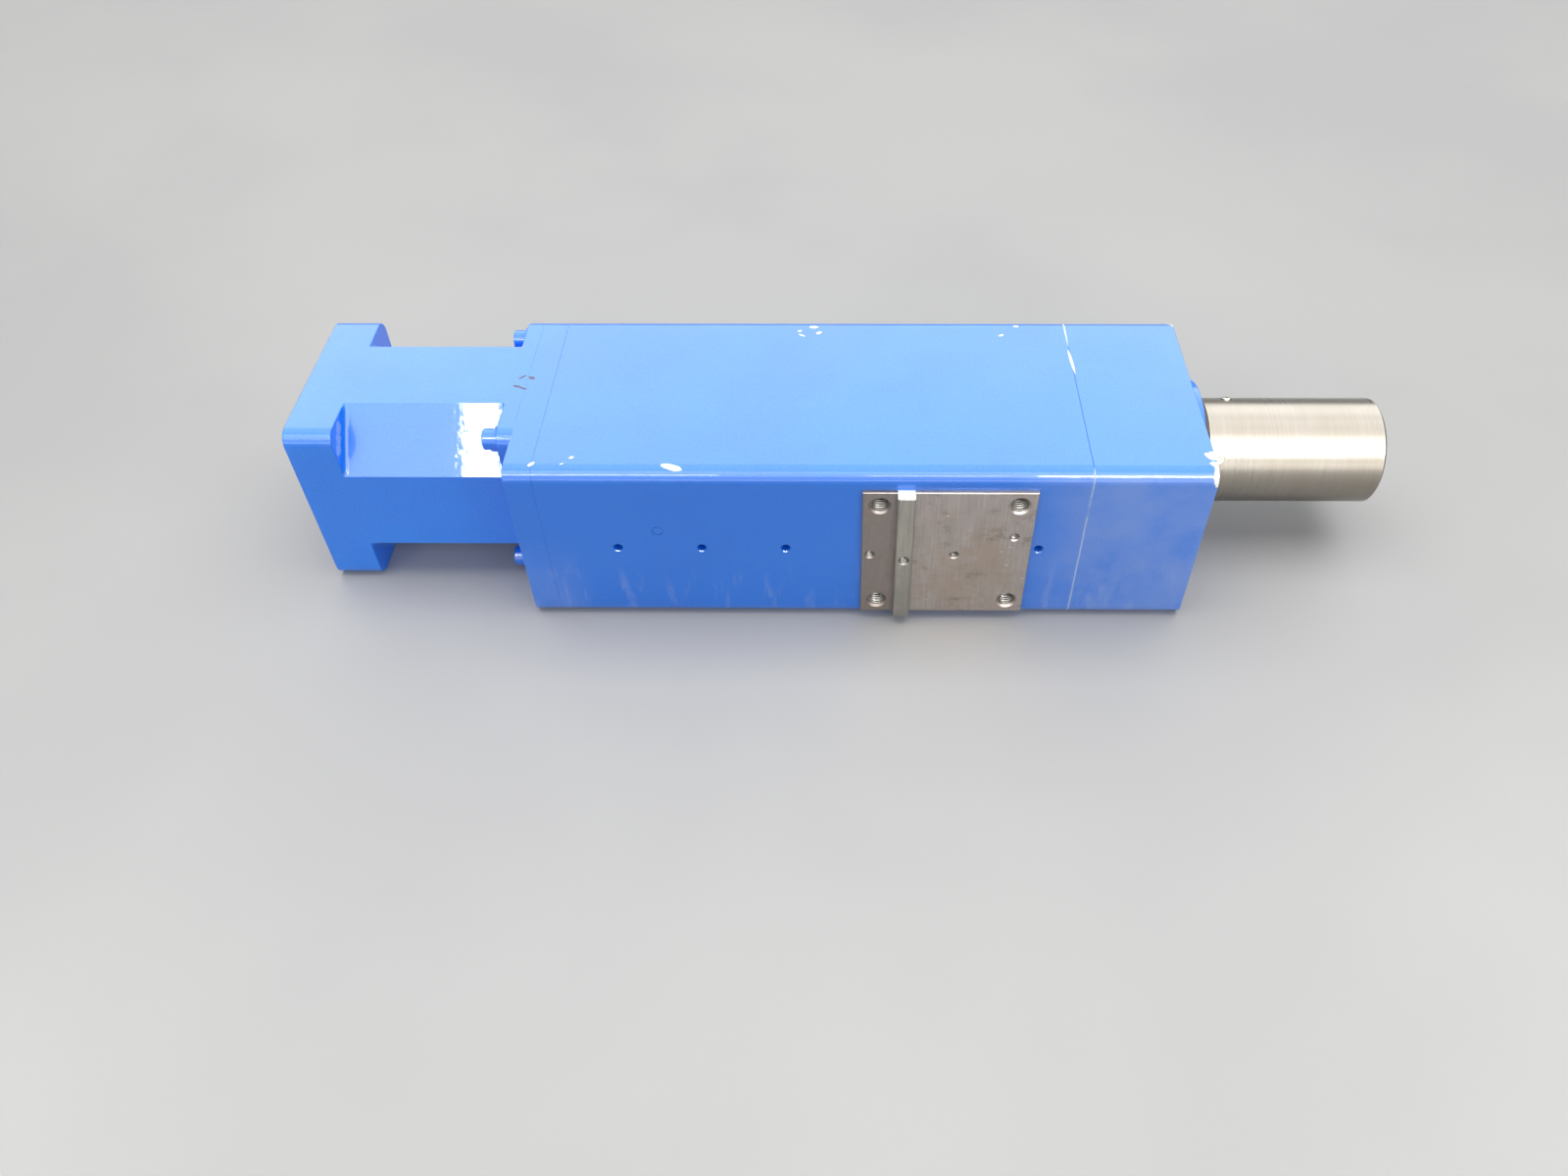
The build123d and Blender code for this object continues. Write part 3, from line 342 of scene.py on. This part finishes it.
def ground_steel(name, light, dark, stain, stain_amount, rough=(0.40, 0.55), darker_below_x=None,
                 top_end_z=None):
    """Ground steel: fine upright lines, stains and marks; darker below an x if given, and, if a top is given,
    darker lower down with a painted highlight on the top end.
    """
    g = Graph(name)
    g.shader.inputs["Metallic"].default_value = 1.0
    lines = g.noise(1100.0, 2.0, 0.6, g.stretch((1.0, 1.0, 0.04)))
    grit = g.noise(1400.0, 1.0, 0.5)
    stains = g.ramp(g.noise(34.0, 5.0, 0.64), 0.36, 0.66)
    spots = g.ramp(g.noise(75.0, 3.0, 0.6, g.stretch((1.0, 1.0, 1.5), (0, 0.5, 0))), 0.58, 0.74)
    colour = g.mix(g.ramp(lines, 0.25, 0.75), dark, light)
    colour = g.mix(g.ramp(grit, 0.3, 0.8, 0.0, 0.35), colour, dark)
    colour = g.mix(g.math("MULTIPLY", stains, stain_amount), colour, stain)
    colour = g.mix(g.math("MULTIPLY", spots, stain_amount * 0.8), colour, rgb(84, 80, 80))
    if darker_below_x is not None:
        # the colour is darker below the given x
        darker_part = g.ramp(g.x, darker_below_x + 0.5 * MM, darker_below_x - 0.5 * MM, 0.0, 0.6)
        colour = g.mix(darker_part, colour, rgb(104, 98, 96))
    if top_end_z is not None:
        # darker towards the bottom of the key
        lower = g.ramp(g.z, top_end_z - 30 * MM, top_end_z - 75 * MM, 0.0, 0.5)
        colour = g.mix(lower, colour, rgb(112, 108, 106))
        # painted highlight: the top end turns a pale, mostly non-metallic white, standing in for the light
        # that falls on it
        painted_top_highlight = g.ramp(g.z, top_end_z - 0.5 * MM, top_end_z - 0.1 * MM)
        colour = g.mix(painted_top_highlight, colour, rgb(238, 237, 233))
        g.link(g.ramp(painted_top_highlight, 0.0, 1.0, 1.0, 0.2), g.shader.inputs["Metallic"])
    nicks = g.node("ShaderNodeTexVoronoi")
    g.link(g.stretch((1.0, 1.0, 3.2), (0, 1.2, 0)), nicks.inputs["Vector"])
    nicks.inputs["Scale"].default_value = 80.0
    sparse = g.ramp(g.noise(31.0), 0.57, 0.64)
    nick = g.math("MULTIPLY", g.ramp(nicks.outputs["Distance"], 0.12, 0.06), sparse)
    colour = g.mix(g.math("MULTIPLY", nick, 0.7), colour, rgb(232, 228, 220))
    texture = g.math("ADD", g.math("MULTIPLY", lines, 0.5), g.math("MULTIPLY", stains, 0.5))
    roughness = g.ramp(texture, 0.2, 0.8, *rough)
    normal = g.bump(lines, 0.15, 0.05 * MM)
    normal = g.bump(grit, 0.12, 0.05 * MM, normal)
    normal = g.bump(nick, 0.3, 0.05 * MM, normal)
    return g.set(Base_Color=colour, Roughness=roughness, Normal=normal)


def ram_steel():
    """Round-ground steel: fine rings round the ram, faint warm film and a few axial rub marks."""
    g = Graph("ground_ram")
    rings = g.noise(1500.0, 2.0, 0.6, g.stretch((1.0, 0.02, 0.02)))
    wide_rings = g.noise(160.0, 2.0, 0.5, g.stretch((1.0, 0.02, 0.02)))
    rubs = g.ramp(g.noise(420.0, 2.0, 0.5, g.stretch((0.03, 1.0, 1.0))), 0.60, 0.74)
    film = g.ramp(g.noise(26.0, 3.0, 0.6), 0.40, 0.70)
    colour = g.mix(g.ramp(rings, 0.3, 0.7), rgb(140, 134, 125), rgb(147, 142, 134))
    colour = g.mix(g.ramp(wide_rings, 0.35, 0.65, 0.0, 0.25), colour, rgb(132, 127, 118))
    colour = g.mix(g.math("MULTIPLY", film, 0.2), colour, rgb(130, 121, 105))
    colour = g.mix(g.math("MULTIPLY", rubs, 0.15), colour, rgb(124, 122, 121))
    roughness = g.math("ADD", g.ramp(rings, 0.3, 0.7, 0.27, 0.30), g.math("MULTIPLY", film, 0.02))
    normal = g.bump(rings, 0.02, 0.02 * MM)
    g.shader.inputs["Metallic"].default_value = 1.0
    return g.set(Base_Color=colour, Roughness=roughness, Normal=normal)


def plain_metal(name, light, dark, scale, rough=(0.28, 0.42), metallic=1.0):
    """Machined or plated metal with fine mottling."""
    g = Graph(name)
    mottle = g.noise(scale, 4.0, 0.6)
    colour = g.mix(g.ramp(mottle, 0.35, 0.65), light, dark)
    normal = g.bump(g.noise(scale * 5, 2.0), 0.12, 0.05 * MM)
    g.shader.inputs["Metallic"].default_value = metallic
    return g.set(Base_Color=colour, Roughness=g.ramp(mottle, 0.3, 0.7, *rough), Normal=normal)


def moulded(name, light, dark, scale, rough=(0.5, 0.7)):
    """Rubber or moulded plastic with a fine grain and dusty patches."""
    g = Graph(name)
    dust = g.ramp(g.noise(scale, 4.0, 0.6), 0.42, 0.68)
    colour = g.mix(dust, dark, light)
    normal = g.bump(g.noise(scale * 12, 2.0), 0.2, 0.08 * MM)
    return g.set(Base_Color=colour, Roughness=g.ramp(dust, 0.0, 1.0, *rough), Normal=normal)


MATERIALS = {
    "blue_paint": paint_material(),
    "ground_steel": ground_steel("pad_steel", rgb(172, 165, 161), rgb(152, 145, 142),
                                 rgb(134, 120, 106), 0.62, darker_below_x=low("location_key").x),
    "key_steel": ground_steel("key_steel", rgb(160, 158, 151), rgb(140, 138, 132), rgb(126, 120, 108), 0.3,
                              top_end_z=high("location_key").z),
    "ram_steel": ram_steel(),
    "bare_steel": plain_metal("machined_steel", rgb(190, 189, 188), rgb(150, 150, 150), 90.0),
    "dark_steel": plain_metal("black_oxide", rgb(46, 46, 50), rgb(24, 24, 28), 140.0, (0.34, 0.5)),
    "plated_steel": plain_metal("zinc_plate", rgb(214, 212, 198), rgb(168, 168, 150), 420.0, (0.22, 0.36)),
    "seal_rubber": moulded("seal_rubber", rgb(92, 80, 70), rgb(52, 44, 40), 70.0),
    "bronze": plain_metal("bronze", rgb(206, 160, 96), rgb(150, 108, 58), 80.0),
    "coupling_alloy": plain_metal("turned_aluminium", rgb(206, 207, 210), rgb(168, 169, 172), 110.0),
    "thread_steel": plain_metal("cut_thread", rgb(150, 147, 143), rgb(112, 109, 106), 300.0, (0.36, 0.46)),
    "spider_plastic": moulded("spider_polyurethane", rgb(190, 42, 32), rgb(150, 26, 22), 60.0, (0.35, 0.5)),
    "band_plastic": moulded("guide_band", rgb(72, 96, 90), rgb(40, 60, 56), 60.0),
}

for entry in record["subparts"]:
    mesh = nodes[entry["node"]].data
    mesh.materials.clear()
    mesh.materials.append(MATERIALS[entry["material_slot"]])


# ---------------------------------------------------------------- threads in the tapped holes

def thread_sleeve(name, x, mouth_y, z, wall_r, height, pitch, depth):
    """The thread inside a tapped hole: a closed sleeve along +Y from mouth_y, with crests of a height."""
    around = 48
    rows = round(depth / pitch * 8)
    root = wall_r - 0.02 * MM
    mesh = bpy.data.meshes.new(name)
    bm = bmesh.new()

    def ring(along, radius_at):
        made = []
        for k in range(around):
            angle = 2 * math.pi * k / around
            radius = radius_at(k)
            point = (x + radius * math.cos(angle), mouth_y + along, z + radius * math.sin(angle))
            made.append(bm.verts.new(point))
        return made

    def crest(along):
        """Radius over the turn at a depth, with a run-in at both ends."""
        ease = min(1.0, along / pitch, (depth - along) / pitch)

        def at(k):
            phase = (along / pitch + k / around) % 1.0
            rise = max(0.0, 1.0 - abs(2.0 * phase - 1.0) * 1.25)
            return root - 0.01 * MM - height * rise * ease
        return at

    wall = [ring(along, lambda k: root) for along in (0.0, depth)]
    inner = [ring(depth * row / rows, crest(depth * row / rows)) for row in range(rows + 1)]
    loops = [wall[0]] + inner + [wall[1], wall[0]]
    for a, b in zip(loops, loops[1:]):
        for k in range(around):
            n = (k + 1) % around
            bm.faces.new((a[k], a[n], b[n], b[k]))
    bmesh.ops.recalc_face_normals(bm, faces=bm.faces)
    bm.to_mesh(mesh)
    bm.free()
    for polygon in mesh.polygons:
        polygon.use_smooth = True
    mesh.materials.append(MATERIALS["thread_steel"])
    piece = bpy.data.objects.new(name, mesh)
    bpy.context.scene.collection.objects.link(piece)
    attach(piece, "housing")


pattern = mount("pad_bolts")
big_r = pattern["dims"]["hole_r_mm"] * MM
BIG_MOUTH = 1.0 * MM                # thread starts under the hole's mouth chamfer
TAP_MOUTH = 0.55 * MM
KEY_MOUTH = 0.35 * MM
SMALL_PITCH = 0.8 * MM
for i, (sx, sz) in enumerate(((-1, -1), (1, -1), (-1, 1), (1, 1))):
    hole_x = pattern["pos_m"][0] + sx * pattern["dims"]["spacing_x_mm"] / 2 * MM
    hole_z = pattern["pos_m"][2] + sz * pattern["dims"]["spacing_y_mm"] / 2 * MM
    thread_sleeve(f"thread_m10_{i}", hole_x, PAD_Y + BIG_MOUTH, hole_z, big_r, 0.55 * MM, 1.5 * MM, 15 * MM)
taps = mount("pad_taps")
small_r = taps["dims"]["hole_r_mm"] * MM
# the pair of the pattern, and the third tap forward of it and higher
for i, (dx, dz) in enumerate(((-20.0, 0.0), (20.0, 0.0), (47.5, 12.0))):
    tap_x = taps["pos_m"][0] + dx * MM
    tap_z = taps["pos_m"][2] + dz * MM
    thread_sleeve(f"thread_m5_{i}", tap_x, PAD_Y + TAP_MOUTH, tap_z, small_r, 0.3 * MM, SMALL_PITCH, 7.2 * MM)
jack = mount("key_jack")
thread_sleeve("thread_key", jack["pos_m"][0], low("location_key").y + KEY_MOUTH, jack["pos_m"][2],
              jack["dims"]["r_mm"] * MM, 0.3 * MM, SMALL_PITCH, 6.4 * MM)


# ---------------------------------------------------------------- floor, light and camera

def floor():
    """A large pale floor under the housings, with a very faint mottling."""
    g = Graph("pale_floor")
    colour = g.mix(g.ramp(g.noise(3.0, 3.0), 0.35, 0.65), rgb(164, 163, 161), rgb(157, 156, 155))
    g.set(Base_Color=colour, Roughness=0.62)
    mesh = bpy.data.meshes.new("floor")
    reach = 6.0
    z = BOTTOM_Z - 0.02 * MM
    corners = [(-reach, -reach, z), (reach, -reach, z), (reach, reach, z), (-reach, reach, z)]
    mesh.from_pydata(corners, [], [(0, 1, 2, 3)])
    mesh.materials.append(g.material)
    piece = bpy.data.objects.new("floor", mesh)
    bpy.context.scene.collection.objects.link(piece)


def aim(direction, up):
    """A rotation that looks along direction, with -Z forward and Y close to up."""
    back = -direction.normalized()
    right = up.cross(back).normalized()
    return Matrix((right, back.cross(right), back)).transposed().to_4x4()


def soft_light(name, place, target, width, height, radiance, colour=(1, 1, 1), glossy=True, diffuse=True):
    """A soft rectangular light that faces target, as bright as radiance all over its face."""
    light = bpy.data.lights.new(name, "AREA")
    light.shape = "RECTANGLE"
    light.size = width
    light.size_y = height
    light.energy = math.pi * radiance * width * height
    light.color = colour
    lamp = bpy.data.objects.new(name, light)
    lamp.matrix_world = Matrix.Translation(place) @ aim(Vector(target) - Vector(place), Vector((0, 0, 1)))
    lamp.visible_glossy = glossy
    lamp.visible_diffuse = diffuse
    bpy.context.scene.collection.objects.link(lamp)


def from_edge(x, elevation, distance):
    """A point on the -Y side at an elevation in degrees and a distance from the near top edge."""
    angle = math.radians(elevation)
    return Vector((x, NEAR_Y - distance * math.cos(angle), TOP_Z + distance * math.sin(angle)))


def window_pane(name, x_low, x_high, low_deg, high_deg, radiance):
    """A pane of the bright window on the -Y side that only shows as reflections, between two elevations."""
    distance = 1.5
    x = (x_low + x_high) / 2
    height = 2 * distance * math.tan(math.radians((high_deg - low_deg) / 2))
    place = from_edge(x, (low_deg + high_deg) / 2, distance)
    warm = (1.0, 0.99, 0.97)
    soft_light(name, place, (x, NEAR_Y, TOP_Z), x_high - x_low, height, radiance, warm, diffuse=False)


def lights():
    """Broad soft panels beyond, above and on the near side, the window's reflections, and two low fills."""
    centre = Vector((FRONT_JOINT_X - 0.1, 0, 0))
    window_pane("pane_neck", -0.41, -0.34, 43, 56, 32)
    window_pane("pane_rear", -0.34, 0.05, 40, 43, 34)
    window_pane("pane_middle", 0.30, 0.55, 39, 42, 15)
    window_pane("pane_front", 0.60, 1.25, 32, 46, 24)
    beyond = centre + Vector((0, 2.3, 1.75))
    soft_light("beyond", beyond, centre, 5.0, 1.8, 3.6, (0.97, 0.99, 1.0), diffuse=False)
    soft_light("beyond_fill", beyond, centre, 5.0, 1.8, 1.9, (0.97, 0.99, 1.0), glossy=False)
    beyond_high = centre + Vector((0, 1.12, 2.5))
    soft_light("beyond_high", beyond_high, centre, 5.0, 1.15, 2.8, (0.98, 0.99, 1.0), diffuse=False)
    soft_light("above", centre + Vector((0, -0.35, 2.4)), centre, 4.6, 2.0, 2.8, diffuse=False)
    soft_light("above_fill", centre + Vector((0, 0.15, 2.3)), centre, 4.2, 1.8, 3.4, glossy=False)
    room = (1.0, 0.99, 0.97)
    soft_light("near_high", from_edge(centre.x, 50.0, 2.4), centre, 5.2, 1.5, 3.9, room, diffuse=False)
    soft_light("near_middle", from_edge(centre.x, 22.5, 2.4), centre, 5.2, 0.9, 1.9, room, diffuse=False)
    soft_light("near_low", from_edge(centre.x, -2.0, 2.4), centre, 5.2, 1.1, 3.9, room, diffuse=False)
    soft_light("key", from_edge(centre.x + 0.9, 42.0, 2.0), centre, 1.0, 0.8, 1.7, room, glossy=False)
    right_low = Vector((FRONT_X + 0.2, NEAR_Y - 0.32, 0.26))
    soft_light("right_low", right_low, (FRONT_X - 0.03, NEAR_Y, 0), 0.36, 0.3, 1.9, glossy=False)
    left_low = Vector((-0.2, NEAR_Y - 0.32, 0.26))
    soft_light("left_low", left_low, (0.04, NEAR_Y, 0), 0.36, 0.3, 2.1, glossy=False)
    world = bpy.data.worlds.new("studio")
    world.use_nodes = True
    world.node_tree.nodes["Background"].inputs["Color"].default_value = (0.90, 0.94, 0.98, 1)
    world.node_tree.nodes["Background"].inputs["Strength"].default_value = 0.27
    bpy.context.scene.world = world


def camera():
    """The camera that sees the object from the near side, looking down on it."""
    place = Vector((FRONT_X - 0.17, NEAR_Y - 0.3958, TOP_Z + 0.3574))
    pitch = math.radians(46.228)
    yaw = math.radians(0.974)
    roll = math.radians(0.5)
    forward = Matrix.Rotation(yaw, 3, "Z") @ Vector((0, math.cos(pitch), -math.sin(pitch)))
    right = Matrix.Rotation(yaw, 3, "Z") @ Vector((1, 0, 0))
    down = forward.cross(right)
    right_rolled = math.cos(roll) * right + math.sin(roll) * down
    up = right_rolled.cross(forward)
    data = bpy.data.cameras.new("camera")
    data.sensor_width = 36.0
    data.lens = 27.305
    data.shift_x = -0.02697
    data.shift_y = -0.01743
    data.clip_start = 0.01
    eye = bpy.data.objects.new("camera", data)
    turn = Matrix((right_rolled, up, -forward)).transposed().to_4x4()
    eye.matrix_world = Matrix.Translation(place) @ turn
    bpy.context.scene.collection.objects.link(eye)
    bpy.context.scene.camera = eye


floor()
lights()
camera()
bpy.context.scene.view_settings.view_transform = "Standard"
